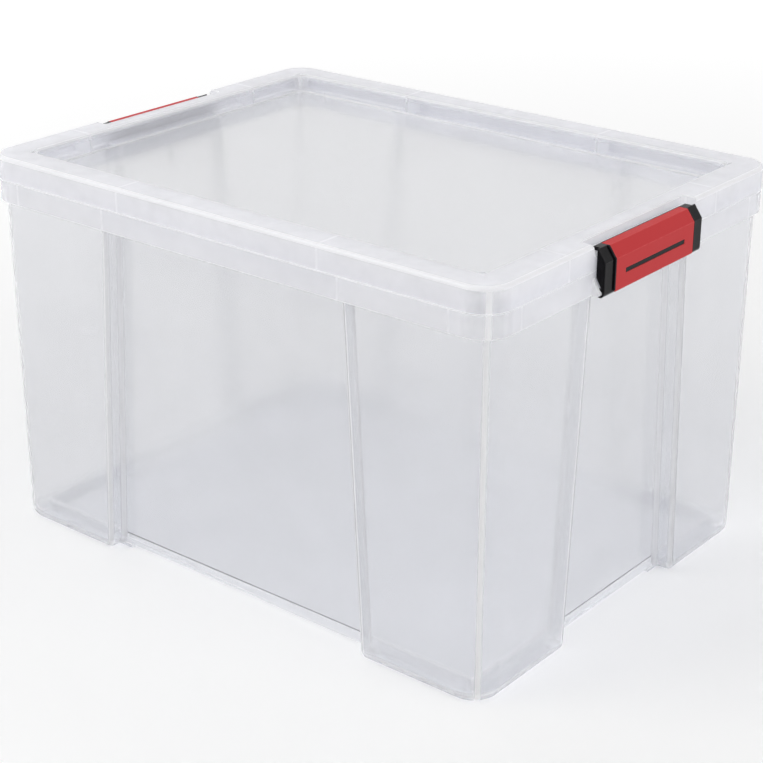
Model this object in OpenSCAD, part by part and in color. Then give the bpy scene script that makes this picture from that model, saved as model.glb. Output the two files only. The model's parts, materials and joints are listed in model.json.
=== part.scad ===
// Clip-lid file box: a translucent tub with four hollow corner pillars, a lid with a sunk
// panel, and a clip handle at each end that turns on a rod moulded under the tub's rim.
// Millimetres. X runs along the length, Z is up, and the box stands on z = 0 about the origin.

/* [Overall] */
// Outside length of the lid
lid_length = 500; // [440:2:600]
// Outside width of the lid
lid_width = 378; // [340:2:460]
// Height from the ground to the top of the lid
total_height = 323; // [240:1:420]
// Radius of the lid's corners in plan
lid_corner_r = 23; // [20:1:32]

/* [Tub walls] */
// Wall thickness of the tub
wall = 2.2; // [1.8:0.1:2.8]
// How far the pillars stand back from the face of the rim
band_step = 3; // [2.5:0.1:4]
// Lean of each outer wall over the height of the tub
draft = 0.8; // [0:0.1:2]
// Radius of the tub's outer corners in plan
pillar_corner_r = 23; // [18:1:28]
// Radius of the pillars' other upright edges
pillar_edge_r = 4; // [3:0.5:5]
// Radius of the upright corners where a recess meets a pillar
recess_corner_r = 4; // [2.5:0.5:6]
// Width of a pillar along the length, under the rim
pillar_x_top = 128.5; // [110:0.5:150]
// Width of a pillar along the length, at the ground
pillar_x_bottom = 111.5; // [95:0.5:140]
// Width of a pillar along the width, under the rim
pillar_y_top = 123.8; // [100:0.2:135]
// Width of a pillar along the width, at the ground
pillar_y_bottom = 108; // [90:0.5:130]
// Depth of the recesses in the two ends
recess_x = 15.8; // [12:0.2:20]
// Depth of the recesses in the front and back
recess_y = 15; // [12:0.2:20]

/* [Tub base] */
// Radius between the pillars' sides and their feet
foot_r = 9; // [5:0.5:12]
// Thickness of the floor and of the soles of the feet
floor_t = 2.5; // [2:0.1:3.5]
// Height of the floor's top over the ground
floor_top = 13.5; // [12.5:0.5:20]
// Height of the lower edge of the recess walls over the ground
recess_lift = 3.5; // [2:0.5:5]

/* [Rim] */
// Height of the tub's rim band
rim_h = 18.2; // [15:0.2:26]
// How far the rim band stands back from the face of the lid
rim_inset = 0.5; // [0.3:0.1:1.2]
// Height of the upstand inside the lid
upstand_h = 9.5; // [6:0.5:10]
// Thickness of the upstand
upstand_t = 2; // [1.6:0.1:2.6]
// Thickness of the ledge that the lid rests on
ledge_t = 2; // [1.6:0.1:3]
// Thickness of the gussets under the ledge and of the ribs in the lid
rib_t = 1.8; // [1.2:0.1:2.4]
// Distance of the front and back gussets from the middle
gusset_x = 60; // [20:1:90]
// How far the gussets reach down a recess wall below the rim
gusset_drop = 14; // [4:1:24]
// Distance of the ribs inside the rim from the corner faces
rim_rib_in = 34; // [30:1:60]

/* [Lid] */
// Wall thickness of the lid
lid_t = 2; // [1.6:0.1:2.4]
// Height of the lid's skirt band
skirt_h = 19.5; // [17:0.5:26]
// Width of the raised border along the lid's ends
border_x = 26; // [24:0.5:34]
// Width of the raised border along the lid's long sides
border_y = 26; // [22:0.5:34]
// Depth of the sunk panel under the border
panel_drop = 15; // [10:0.5:16]
// Lean of the wall between border and panel
panel_lean = 2.5; // [1:0.5:4]
// Radius of the sunk panel's corners
panel_corner_r = 9; // [6:0.5:14]
// Radius of the lid's top outer edge
lid_edge_r = 3; // [1.5:0.5:4]
// Radius of the border's inner edge
border_edge_r = 2; // [1:0.5:3]
// Distance of the ribs in the long sides from the middle
lid_rib_x = 100; // [80:1:150]
// Distance of the ribs in the ends from the middle
lid_rib_y = 99; // [80:1:120]

/* [Clip seat in the lid] */
// Half length of the seat along the end
seat_half = 68; // [66:0.5:76]
// How far the seat reaches in from the end face
seat_in = 10.5; // [9.5:0.5:14]
// Depth of the seat under the border
seat_drop = 7.1; // [6.2:0.1:9]
// How far the seat's walls lean away from the clip
seat_lean = 1.5; // [0.5:0.1:2.5]
// Radius of the seat's corners
seat_corner_r = 3; // [1:0.5:5]
// Bevel of the edge that the clip hooks over
seat_bevel = 2; // [1:0.1:2.5]

/* [Clip handle] */
// Length of a clip along the end
clip_length = 131; // [124:1:134]
// How far the cover stands out from the lid's face
clip_out = 8.8; // [8.6:0.1:11]
// Depth of the clip's top under the lid's top
clip_top_drop = 3.7; // [2.5:0.1:4]
// Height of the bevel between the clip's top and front
clip_bevel_h = 8.8; // [6:0.1:12]
// Width of the bevel between the clip's top and front
clip_bevel_w = 6.4; // [4:0.1:6.6]
// How far the nose reaches in over the lid
nose_in = 5.5; // [4:0.1:6]
// Half length of the nose
nose_half = 62; // [55:0.5:64]
// Bevel under the nose's tip
nose_bevel = 1; // [0.5:0.1:1.5]
// Thickness of the frame's skin
skin_t = 1.6; // [1.2:0.1:2]
// Thickness of the end plates of the frame
end_plate_t = 2; // [1.5:0.1:3]
// How far the frame's end caps stand back from the cover's face
cap_set_back = 1.2; // [0.8:0.1:1.3]
// Width of the shoulders beside the cover
shoulder_w = 1.5; // [1:0.1:2.5]
// Length of the cover
cover_length = 105; // [90:1:110]
// Thickness of the cover
cover_t = 1.3; // [1:0.1:1.6]
// Height of the cover's lower edge over the rim's lower edge
cover_lift = 0.6; // [0.4:0.1:2]
// Length of the slot in the cover
slot_length = 80; // [50:1:90]
// Height of the slot in the cover
slot_h = 2.8; // [2:0.1:5]
// Height of the slot over the rim's lower edge
slot_z = 11.6; // [9:0.1:16]
// How far the bar in the slot lies under the cover's face
bar_sink = 0.4; // [0.1:0.1:1]

/* [Clip hinge] */
// Radius of the rod that a clip turns on
rod_r = 1.6; // [1.3:0.1:1.8]
// Height of the rod over the rim's lower edge
rod_z = 2.2; // [1.8:0.1:4]
// Thickness of the lugs that carry the rod
lug_t = 2.4; // [1.8:0.1:3]
// Distance between the inner lugs
lug_pitch = 33; // [26:1:44]
// Height of the lugs' root over the rod
lug_root = 11; // [8:0.5:12]
// Width of the mouth that the clip snaps on by
mouth_w = 2.6; // [2:0.1:2.8]

/* [Clearances] */
// Gap between the lid's skirt and the ledge under it
lid_seat = 0.3; // [0.2:0.05:0.6]
// Gap between the lid's skirt and the upstand inside it
upstand_gap = 0.8; // [0.4:0.1:1.4]
// Gap between a clip and the face of the lid
clip_gap = 0.4; // [0.3:0.05:0.8]
// Gap between a clip's nose and its seat
nose_gap = 0.5; // [0.4:0.05:0.8]
// Gap round the rod in its bearing
rod_gap = 0.2; // [0.1:0.05:0.3]
// Gap between a clip and the lugs beside it
lug_gap = 0.4; // [0.3:0.05:0.8]
// Gap round the cover in its frame
cover_gap = 0.1; // [0.05:0.05:0.2]

/* [Hidden] */

milky = [0.90, 0.91, 0.94, 0.55];
clear = [0.93, 0.94, 0.96, 0.45];
black = [0.08, 0.07, 0.09];
red = [0.76, 0.24, 0.25];

bite = 0.5;                // how far two shapes that make one solid run into each other
over = 1;                  // how far a cutting shape runs past what it cuts
corner_steps = 8;          // straight pieces in a large corner
edge_steps = 3;            // straight pieces in a small upright edge
bend_steps = 4;            // rings in a bend between a side and a level face

lid_x = lid_length / 2;
lid_y = lid_width / 2;
skirt_z = total_height - skirt_h;
ledge_z = skirt_z - lid_seat;
rim_z = ledge_z - rim_h;
rim_x = lid_x - rim_inset;
rim_y = lid_y - rim_inset;
rim_corner_r = lid_corner_r - rim_inset;
body_x = rim_x - band_step;
body_y = rim_y - band_step;
upstand_x = lid_x - lid_t - upstand_gap;
upstand_y = lid_y - lid_t - upstand_gap;
upstand_corner_r = lid_corner_r - lid_t - upstand_gap;
floor_x = body_x - draft - recess_x - wall / 2;
floor_y = body_y - draft - recess_y - wall / 2;
panel_z = total_height - panel_drop;
seat_z = total_height - seat_drop;

clip_top = total_height - clip_top_drop;
clip_front = lid_x + clip_out;
clip_back = lid_x + clip_gap;
nose_tip = lid_x - nose_in;
nose_z = seat_z + nose_gap;
cap_inset = cap_set_back;
core_inset = cover_t + cover_gap;
bore_r = rod_r + rod_gap;
knuckle_r = bore_r + skin_t;
pivot_x = clip_front - core_inset - knuckle_r;
pivot_z = rim_z + rod_z;
lug_y = clip_length / 2 + lug_gap;

function mix(a, b, t) = a + (b - a) * t;
function unit(v) = v / norm(v);
function level(points, z) = [for (p = points) [p.x, p.y, z]];

// Quarter turn at the right-angled corner b, whose sides run towards u and v.
function quarter(b, u, v, r, steps) =
    [for (i = [0:steps]) let (f = 90 * i / steps) b + (u + v) * r - v * r * cos(f) - u * r * sin(f)];

// Outline through right-angled corners [x, y, radius, steps].
function outline(corners) =
    [for (i = [0:len(corners) - 1])
        let (n = len(corners), c = corners[i], a = corners[(i + n - 1) % n], e = corners[(i + 1) % n],
             b = [c.x, c.y], u = unit([a.x, a.y] - b), v = unit([e.x, e.y] - b))
        each quarter(b, u, v, c[2], c[3])];

// Rectangle with round corners, given by its half sizes.
function round_rect(x, y, r) =
    outline([for (s = [[1, 1], [-1, 1], [-1, -1], [1, -1]]) [s.x * x, s.y * y, r, corner_steps]]);

// Outline of the tub: pillars out to x and y with edges at ex and ey, recess walls at rx and ry.
function tub_outline(x, y, rx, ry, ex, ey, corner_r, edge_r, inner_r) =
    let (arm = [[rx, ey, inner_r, edge_steps], [x, ey, edge_r, edge_steps], [x, y, corner_r, corner_steps],
                [ex, y, edge_r, edge_steps], [ex, ry, inner_r, edge_steps]])
    outline([for (s = [[1, 1], [-1, 1], [-1, -1], [1, -1]]) for (k = [0:4])
        let (c = arm[s.x * s.y > 0 ? k : 4 - k]) [s.x * c.x, s.y * c.y, c[2], c[3]]]);

// Section of the tub at height z, in by t from its outer skin, with the bend's inset at the foot.
function tub_ring(z, t, inset) =
    let (low = (rim_z - z) / rim_z, x = body_x - draft * low, y = body_y - draft * low,
         ex = mix(body_x - pillar_x_top, body_x - draft - pillar_x_bottom, low),
         ey = mix(body_y - pillar_y_top, body_y - draft - pillar_y_bottom, low))
    level(tub_outline(x - t - inset, y - t - inset, x - recess_x - t, y - recess_y - t,
                      ex + t + inset, ey + t + inset, max(pillar_corner_r - t - inset, 2),
                      max(pillar_edge_r - t - inset, 1), recess_corner_r + t / 2), z);

// Rings of the tub's skin at t inside its outer face, from z0 to z1, with a bend of radius r below.
function tub_rings(z0, z1, t, r) =
    concat([for (i = [0:bend_steps]) let (f = 90 * i / bend_steps)
                tub_ring(z0 + r * (1 - cos(f)), t, r * (1 - sin(f)))],
           [tub_ring(z1, t, 0)]);

// Side faces between a stack of rings that have n points each.
function sides(rings, n) =
    [for (k = [0:len(rings) - 2]) for (i = [0:n - 1])
        let (a = k * n + i, b = k * n + (i + 1) % n)
        each [[a, a + n, b + n], [a, b + n, b]]];

// Solid through a stack of convex rings that have as many points each.
module loft(rings) {
    n = len(rings[0]);
    top = (len(rings) - 1) * n;
    polyhedron(points = [for (ring = rings) each ring],
               faces = concat([[for (i = [0:n - 1]) i], [for (i = [n - 1:-1:0]) top + i]], sides(rings, n)));
}

// Points inside a ring of the tub: the inner corner of each pillar, and the middle.
function hubs(ring) =
    let (arm = len(ring) / 4)
    concat([for (k = [0:3]) let (a = ring[k * arm], b = ring[k * arm + arm - 1])
                [sign(a.x) * max(abs(a.x), abs(b.x)), sign(a.y) * max(abs(a.y), abs(b.y)), a.z]],
           [[0, 0, ring[0].z]]);

// End face of a ring of the tub, as fans round its hubs.
function fans(first, hub, n) =
    let (arm = n / 4)
    [for (k = [0:3]) let (a = first + k * arm, b = a + arm - 1)
        each concat([for (i = [a:b - 1]) [hub + k, i, i + 1]],
                    [[hub + 4, first + (k * arm + n - 1) % n, a], [hub + 4, a, hub + k], [hub + 4, hub + k, b]])];

// Solid through a stack of rings of the tub.
module tub_loft(rings) {
    n = len(rings[0]);
    last = len(rings) - 1;
    hub = (last + 1) * n;
    polyhedron(
        points = concat([for (ring = rings) each ring], hubs(rings[0]), hubs(rings[last])),
        faces = concat(fans(0, hub, n), [for (f = fans(last * n, hub + 5, n)) [f[2], f[1], f[0]]],
                       sides(rings, n)));
}

module slab(x, y, r, z0, z1) translate([0, 0, z0]) linear_extrude(z1 - z0) polygon(round_rect(x, y, r));

module box(x0, x1, y0, y1, z0, z1) translate([x0, y0, z0]) cube([x1 - x0, y1 - y0, z1 - z0]);

// Child drawn in X and Z, as a plate from y0 to y1.
module plate(y0, y1) translate([0, y1, 0]) rotate([90, 0, 0]) linear_extrude(y1 - y0) children();

module both_ends() for (a = [0, 180]) rotate(a) children();

module all_corners() for (sx = [0, 1]) for (sy = [0, 1]) mirror([sx, 0, 0]) mirror([0, sy, 0]) children();

// ---------------------------------------------------------------- tub

// The outside of the tub up to the ledge, still solid.
module tub_outside() {
    tub_loft(tub_rings(0, ledge_z - ledge_t / 2, 0, foot_r));
    difference() {
        slab(rim_x, rim_y, rim_corner_r, rim_z, ledge_z);
        rim_channels();
    }
}

// The channels between the recess walls and the rim band, open below.
module rim_channels() {
    half_x = body_x - pillar_x_top + pillar_edge_r + wall / 2;
    half_y = body_y - pillar_y_top + pillar_edge_r + wall / 2;
    box(-rim_x + wall, rim_x - wall, -half_y, half_y, rim_z - over, ledge_z - ledge_t);
    box(-half_x, half_x, -rim_y + wall, rim_y - wall, rim_z - over, ledge_z - ledge_t);
}

// Where the pillars widen inside the rim band, under the ledge.
module rim_widening() {
    edge_x = body_x - pillar_x_top + pillar_edge_r + 1.5 * wall;
    edge_y = body_y - pillar_y_top + pillar_edge_r + 1.5 * wall;
    intersection() {
        slab(rim_x - wall, rim_y - wall, rim_corner_r - wall, rim_z + wall, ledge_z - ledge_t);
        all_corners() box(edge_x, rim_x, edge_y, rim_y, rim_z, ledge_z);
    }
}

// The space inside the tub, with the floor standing up inside the pillars' feet.
module tub_inside() {
    skin = foot_r - wall;
    difference() {
        tub_loft(tub_rings(floor_t, ledge_z + over, wall, skin));
        box(-floor_x, floor_x, -floor_y, floor_y, floor_t - over, floor_top);
    }
    rim_widening();
}

// The hollow under the floor and the gaps under the recess walls.
module tub_underside() {
    x = floor_x - wall;
    y = floor_y - wall;
    gap_x = body_x - draft - pillar_x_bottom - foot_r;
    gap_y = body_y - draft - pillar_y_bottom - foot_r;
    box(-x, x, -y, y, -over, floor_top - floor_t);
    box(-x - 2 * wall, x + 2 * wall, -gap_y, gap_y, -over, recess_lift);
    box(-gap_x, gap_x, -y - 2 * wall, y + 2 * wall, -over, recess_lift);
}

// Gusset under the ledge, from a recess wall at x = root out to the rim band at x = face.
module gusset(root, face) {
    plate(-rib_t / 2, rib_t / 2) polygon([
        [root - wall / 2, rim_z - gusset_drop], [root, rim_z - gusset_drop],
        [face + bite, rim_z + rim_h / 3], [face + bite, ledge_z - bite],
        [root - wall / 2, ledge_z - bite]]);
}

module gussets() {
    both_ends() gusset(body_x - recess_x, rim_x - wall);
    both_ends() for (s = [-1, 1])
        translate([s * gusset_x, 0, 0]) rotate(90) gusset(body_y - recess_y, rim_y - wall);
}

// Ribs that stiffen the rim where the pillars widen, and one across each corner.
module rim_ribs() {
    z0 = rim_z + bite;
    z1 = ledge_z - bite;
    corner_in = (rim_corner_r - wall) * (1 - sqrt(0.5));
    all_corners() {
        box(rim_x - rim_rib_in - rib_t, rim_x - rim_rib_in, body_y - wall, rim_y - bite, z0, z1);
        box(body_x - wall, rim_x - bite, rim_y - rim_rib_in - rib_t, rim_y - rim_rib_in, z0, z1);
        translate([rim_x - wall - corner_in, rim_y - wall - corner_in, 0]) rotate(45)
            box(-band_step, bite, -rib_t / 2, rib_t / 2, z0, z1);
    }
}

module upstand() {
    difference() {
        slab(upstand_x, upstand_y, upstand_corner_r, ledge_z - bite, ledge_z + upstand_h);
        slab(upstand_x - upstand_t, upstand_y - upstand_t, upstand_corner_r - upstand_t,
             ledge_z - over, ledge_z + upstand_h + over);
    }
}

// Lug from the rim band out to the rod.
module lug(y0, y1) {
    root = rim_x - wall / 2;
    plate(y0, y1) polygon([
        [root, pivot_z + lug_root], [rim_x, pivot_z + lug_root],
        [pivot_x + rod_r * 0.6, pivot_z + rod_r * 0.8], [pivot_x, pivot_z - rod_r], [root, pivot_z - rod_r]]);
}

module hinge_rod() {
    for (y = [-lug_y - lug_t, lug_y]) lug(y, y + lug_t);
    for (k = [-1:1]) lug(k * lug_pitch - lug_t / 2, k * lug_pitch + lug_t / 2);
    translate([pivot_x, lug_y + lug_t, pivot_z]) rotate([90, 0, 0])
        cylinder(r = rod_r, h = 2 * (lug_y + lug_t), $fn = 48);
}

module tub() {
    color(milky) {
        difference() {
            tub_outside();
            tub_inside();
            tub_underside();
        }
        upstand();
        gussets();
        rim_ribs();
        both_ends() hinge_rod();
    }
}

// ---------------------------------------------------------------- lid

// Rings of a rounded rectangle that bends over by r at its top, inwards (side = -1) or outwards.
function bend_rings(x, y, corner_r, z_top, r, side) =
    [for (i = [0:bend_steps]) let (f = 90 * i / bend_steps, d = side * r * (1 - cos(f)))
        level(round_rect(x + d, y + d, corner_r + d), z_top - r + r * sin(f))];

module lid_outside() {
    loft(concat([level(round_rect(lid_x, lid_y, lid_corner_r), skirt_z)],
                bend_rings(lid_x, lid_y, lid_corner_r, total_height, lid_edge_r, -1)));
}

// The hollow over the sunk panel: its wall leans out and rolls over into the border.
module panel_hollow() {
    x = lid_x - border_x;
    y = lid_y - border_y;
    roll = bend_rings(x, y, panel_corner_r, total_height, border_edge_r, 1);
    loft(concat([level(round_rect(x - panel_lean, y - panel_lean, panel_corner_r - panel_lean), panel_z)],
                roll, [[for (p = roll[bend_steps]) p + [0, 0, over]]]));
}

// What stays solid inside the border: the wall round the sunk panel, still without its hollow.
module panel_core() {
    x = lid_x - border_x + lid_t;
    y = lid_y - border_y + lid_t;
    loft([level(round_rect(x - panel_lean, y - panel_lean, panel_corner_r), panel_z - lid_t - over),
          level(round_rect(x, y, panel_corner_r + lid_t), total_height)]);
}

// The seat that a clip's nose lies in, grown by the lid's thickness for the wall round it.
module clip_seat(grow) {
    r = seat_corner_r + grow;
    x = lid_x - seat_in - grow;
    y = seat_half + grow;
    function ring(d, z) = level([for (p = outline([[x - d, y + d, r, edge_steps], [x - d, -y - d, r, edge_steps],
        [lid_x + r + over, -y - d, r, edge_steps], [lid_x + r + over, y + d, r, edge_steps]])) p], z);
    loft([ring(0, seat_z - grow), ring(seat_lean, total_height + over)]);
}

// Rib across the hollow border, cut back round the upstand; x = 0 is the skirt's inner face.
module border_rib(depth) {
    foot = skirt_z + 1;
    head = total_height - bite;
    over_upstand = ledge_z + upstand_h + 2 * lid_seat;
    clear_x = -upstand_t - 2 * upstand_gap;
    plate(-rib_t / 2, rib_t / 2) polygon([
        [-depth, foot], [clear_x, foot], [clear_x, over_upstand], [-upstand_gap / 2, over_upstand],
        [-upstand_gap / 2, foot], [bite, foot], [bite, head], [-depth, head]]);
}

module border_ribs() {
    depth_x = border_x - 1.5 * lid_t;
    depth_y = border_y - 1.5 * lid_t;
    corner_in = (lid_corner_r - lid_t) * (1 - sqrt(0.5));
    both_ends() for (s = [-1, 1]) {
        translate([lid_x - lid_t, s * lid_rib_y, 0]) border_rib(depth_x);
        translate([s * lid_rib_x, lid_y - lid_t, 0]) rotate(90) border_rib(depth_y);
    }
    all_corners() translate([lid_x - lid_t - corner_in, lid_y - lid_t - corner_in, 0]) rotate(45)
        border_rib(min(border_x, border_y) * sqrt(2) - lid_t - corner_in);
}

module lid_shell() {
    difference() {
        lid_outside();
        panel_hollow();
        slab(lid_x - lid_t, lid_y - lid_t, lid_corner_r - lid_t, skirt_z - over, panel_z - lid_t);
        difference() {
            slab(lid_x - lid_t, lid_y - lid_t, lid_corner_r - lid_t, skirt_z - over, total_height - lid_t);
            panel_core();
            both_ends() clip_seat(lid_t);
        }
    }
}

module lid() {
    color(clear) difference() {
        union() {
            lid_shell();
            border_ribs();
        }
        both_ends() {
            clip_seat(0);
            plate(-seat_half, seat_half) polygon([
                [lid_x - seat_bevel - over, seat_z + over], [lid_x + over, seat_z + over],
                [lid_x + over, seat_z - seat_bevel - over]]);
        }
    }
}

// ---------------------------------------------------------------- clip handles

// Points of the clip's outline with its front and bevel in by d and its top in by e.
function bevel_shift() = norm([clip_bevel_w, clip_bevel_h]);
function bevel_x(d, z) =
    clip_front - (clip_bevel_w * (z - clip_top + clip_bevel_h) + d * bevel_shift()) / clip_bevel_h;
function bevel_end(d) =
    clip_top - clip_bevel_h + (d - (d * bevel_shift()) / clip_bevel_h) * clip_bevel_h / clip_bevel_w;
function top_front(d, e) = [
    [bevel_x(d, clip_top - e), clip_top - e], [clip_front - d, bevel_end(d)], [clip_front - d, pivot_z]];

// Solid outline of a clip, open to the back, without nose or knuckle.
module clip_outline(d, e) {
    polygon(concat(
        [[clip_back, nose_z], [clip_back, clip_top - e]], top_front(d, e),
        [[pivot_x, pivot_z], [pivot_x + bore_r / 2, pivot_z + knuckle_r], [clip_back, pivot_z + lug_root]]));
}

// The outline's skin only, hollow to the back.
module clip_skin(d, e) {
    low = pivot_z + bore_r;
    difference() {
        clip_outline(d, e);
        polygon([[clip_back - over, low], [clip_back - over, nose_z], [bevel_x(d + skin_t, nose_z), nose_z],
                 [clip_front - d - skin_t, bevel_end(d + skin_t)], [clip_front - d - skin_t, low]]);
    }
}

// Nose that reaches in over the lid's seat, with its top down by e.
module nose(half, e) {
    plate(-half, half) polygon([
        [nose_tip, nose_z + nose_bevel], [nose_tip + nose_bevel, nose_z], [clip_back + bite, nose_z],
        [clip_back + bite, clip_top - e], [nose_tip, clip_top - e]]);
}

// Knuckle round the rod, along the whole clip.
module knuckle() {
    translate([pivot_x, clip_length / 2, pivot_z]) rotate([90, 0, 0])
        cylinder(r = knuckle_r, h = clip_length, $fn = 64);
}

module bearing_cut() {
    translate([pivot_x, clip_length, pivot_z]) rotate([90, 0, 0])
        cylinder(r = bore_r, h = 2 * clip_length, $fn = 64);
    translate([pivot_x, 0, pivot_z]) rotate([0, 30, 0])
        box(-2 * knuckle_r, 0, -clip_length, clip_length, -mouth_w / 2, mouth_w / 2);
}

// Room for the inner lugs as the clip turns.
module lug_slots() {
    half = lug_t / 2 + lug_gap;
    for (k = [-1:1]) {
        box(clip_back - over, pivot_x + bore_r, k * lug_pitch - half, k * lug_pitch + half,
            pivot_z - 2 * knuckle_r, pivot_z + lug_root + lug_gap);
        box(clip_back - over, clip_front, k * lug_pitch - half, k * lug_pitch + half,
            pivot_z - 2 * knuckle_r, pivot_z + rod_r / 2);
    }
}

module clip_frame() {
    half = clip_length / 2;
    seat = cover_length / 2 + cover_gap;
    stiffener_y = lug_pitch / 2;
    color(black) difference() {
        union() {
            plate(-seat - bite, seat + bite) clip_skin(core_inset, core_inset);
            for (s = [0, 1]) mirror([0, s, 0]) {
                plate(seat, seat + shoulder_w) clip_outline(0, 0);
                plate(seat, half) clip_skin(cap_inset, 0);
                plate(half - end_plate_t, half) clip_outline(cap_inset, 0);
                for (k = [1, 3]) translate([0, k * stiffener_y, 0])
                    plate(-skin_t / 2, skin_t / 2) clip_outline(core_inset, core_inset);
            }
            nose(seat + bite, core_inset);
            for (s = [0, 1]) mirror([0, s, 0]) translate([0, (nose_half + seat) / 2, 0])
                nose((nose_half - seat) / 2, 0);
            plate(-seat - bite, seat + bite) translate([nose_tip, nose_z + nose_bevel])
                square([cover_t / 2, clip_top - nose_z - nose_bevel]);
            knuckle();
            plate(-slot_length / 2 + cover_gap, slot_length / 2 - cover_gap)
                translate([clip_front - core_inset - bite, rim_z + slot_z + cover_gap])
                    square([core_inset + bite - bar_sink, slot_h - 2 * cover_gap]);
        }
        bearing_cut();
        lug_slots();
    }
}

module clip_cover() {
    half = cover_length / 2;
    foot = rim_z + cover_lift;
    color(red) difference() {
        plate(-half, half) polygon([
            [nose_tip + cover_t / 2 + cover_gap, clip_top], [bevel_x(0, clip_top), clip_top],
            [clip_front, bevel_end(0)], [clip_front, foot + cover_t / 2], [clip_front - cover_t / 2, foot],
            [clip_front - cover_t, foot], [clip_front - cover_t, bevel_end(cover_t)],
            [bevel_x(cover_t, clip_top - cover_t), clip_top - cover_t],
            [nose_tip + cover_t / 2 + cover_gap, clip_top - cover_t]]);
        box(clip_front - 2 * cover_t, clip_front + over, -slot_length / 2, slot_length / 2,
            rim_z + slot_z, rim_z + slot_z + slot_h);
    }
}

module clip_frame_right() clip_frame();

module clip_cover_right() clip_cover();

module clip_frame_left() rotate(180) clip_frame();

module clip_cover_left() rotate(180) clip_cover();

tub();
lid();
clip_frame_right();
clip_cover_right();
clip_frame_left();
clip_cover_left();
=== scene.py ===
# %% [markdown]
# # A clip-lid file box of translucent plastic
# The box has two large mouldings of frosted polypropylene, a tub and a lid, and a black and red
# clip handle at each end. The measured model is loaded first, as a fixed frame. Everything made
# here stays inside that frame, because the frame is what moves and collides.

# %% Load the frame
import json
import math

import bmesh
import bpy
from mathutils import Matrix, Vector

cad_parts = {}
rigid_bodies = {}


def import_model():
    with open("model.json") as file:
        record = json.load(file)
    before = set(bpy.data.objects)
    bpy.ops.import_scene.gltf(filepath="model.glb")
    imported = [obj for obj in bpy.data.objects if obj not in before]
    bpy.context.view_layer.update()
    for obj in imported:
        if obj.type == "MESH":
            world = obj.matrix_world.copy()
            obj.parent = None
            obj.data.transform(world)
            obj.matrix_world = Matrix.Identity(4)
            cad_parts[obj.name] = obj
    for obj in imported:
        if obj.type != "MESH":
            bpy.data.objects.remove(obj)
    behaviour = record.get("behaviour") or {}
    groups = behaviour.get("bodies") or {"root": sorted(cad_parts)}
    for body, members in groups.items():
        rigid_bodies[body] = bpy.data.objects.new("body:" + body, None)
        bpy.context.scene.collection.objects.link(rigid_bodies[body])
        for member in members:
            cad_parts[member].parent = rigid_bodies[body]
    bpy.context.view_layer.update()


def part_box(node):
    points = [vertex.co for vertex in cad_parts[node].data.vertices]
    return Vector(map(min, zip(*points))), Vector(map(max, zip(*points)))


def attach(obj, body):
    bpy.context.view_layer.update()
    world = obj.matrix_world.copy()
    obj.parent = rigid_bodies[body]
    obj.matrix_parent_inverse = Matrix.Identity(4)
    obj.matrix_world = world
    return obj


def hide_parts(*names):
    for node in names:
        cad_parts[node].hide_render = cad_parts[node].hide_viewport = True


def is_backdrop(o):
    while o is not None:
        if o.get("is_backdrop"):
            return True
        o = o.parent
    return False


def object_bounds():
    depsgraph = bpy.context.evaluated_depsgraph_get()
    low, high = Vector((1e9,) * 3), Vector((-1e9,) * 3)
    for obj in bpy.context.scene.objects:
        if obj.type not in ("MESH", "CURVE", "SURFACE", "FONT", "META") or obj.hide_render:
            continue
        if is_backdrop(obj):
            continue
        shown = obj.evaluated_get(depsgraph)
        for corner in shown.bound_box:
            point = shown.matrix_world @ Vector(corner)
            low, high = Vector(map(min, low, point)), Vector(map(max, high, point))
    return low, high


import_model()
MM = 0.001

# %% [markdown]
# ## Sizes
# All sizes are in millimetres, as on a drawing, and turn into metres only where a vertex is made.
# The lid's and the tub's come from the frame's own boxes, so that both follow it.

# %% Sizes
lid_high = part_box("lid")[1]
LID_X, LID_Y = lid_high.x / MM, lid_high.y / MM      # half the lid's length and width
TOP = lid_high.z / MM
LID_CORNER = 23.0
SKIRT_Z = TOP - 19.5                  # lower edge of the lid's skirt
LEDGE_Z = SKIRT_Z - 0.3               # the tub's ledge, on which the lid rests
RIM_Z = LEDGE_Z - 18.2                # lower edge of the tub's rim band
RIM_X, RIM_Y = LID_X - 0.5, LID_Y - 0.5
RIM_CORNER = LID_CORNER - 0.5
BODY_X, BODY_Y = RIM_X - 3.0, RIM_Y - 3.0            # the pillars' faces, under the rim
WALL = 2.2
RIB = 1.8                             # thickness of every rib and gusset
print(f"lid {2 * LID_X:.0f} x {2 * LID_Y:.0f}, rim from {RIM_Z:.1f} to {LEDGE_Z:.1f}, top {TOP:.1f}")

# %% [markdown]
# ## Outlines and stacks of rings
# Both mouldings are round-cornered outlines that change from level to level: a foot bends in, a
# rim steps out, a panel sinks. Each level starts as a polygon of a few vertices whose corners are
# turned by bevelling its vertices. bridge_loops then spans the skin from one ring to the next.

# %% Outlines and stacks of rings
def outline(corners):
    """Points of a polygon whose corners [x, y, radius, steps] have been turned."""
    bm = bmesh.new()
    spots = [bm.verts.new((x, y, 0)) for x, y, _, _ in corners]
    bm.faces.new(spots)
    for kind in sorted({c[2:] for c in corners if c[2] > 0}):
        turned = [v for v, c in zip(spots, corners) if c[2:] == kind]
        bmesh.ops.bevel(bm, geom=turned, offset=kind[0], offset_type="OFFSET", affect="VERTICES",
                        segments=kind[1], profile=0.5, material=-1)
    bm.faces.ensure_lookup_table()
    points = [loop.vert.co.copy() for loop in bm.faces[0].loops]
    bm.free()
    return points


def level(points, z):
    return [Vector((p.x, p.y, z)) for p in points]


def rectangle(x, y, radius, steps=12):
    """Outline of a rectangle with turned corners, given by its half sizes."""
    return outline([(sx * x, sy * y, radius, steps) for sx, sy in ((1, 1), (-1, 1), (-1, -1), (1, -1))])


def add_ring(bm, points):
    verts = [bm.verts.new(p * MM) for p in points]
    edges = [bm.edges.new((a, b)) for a, b in zip(verts, verts[1:] + verts[:1])]
    return verts, edges


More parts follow.
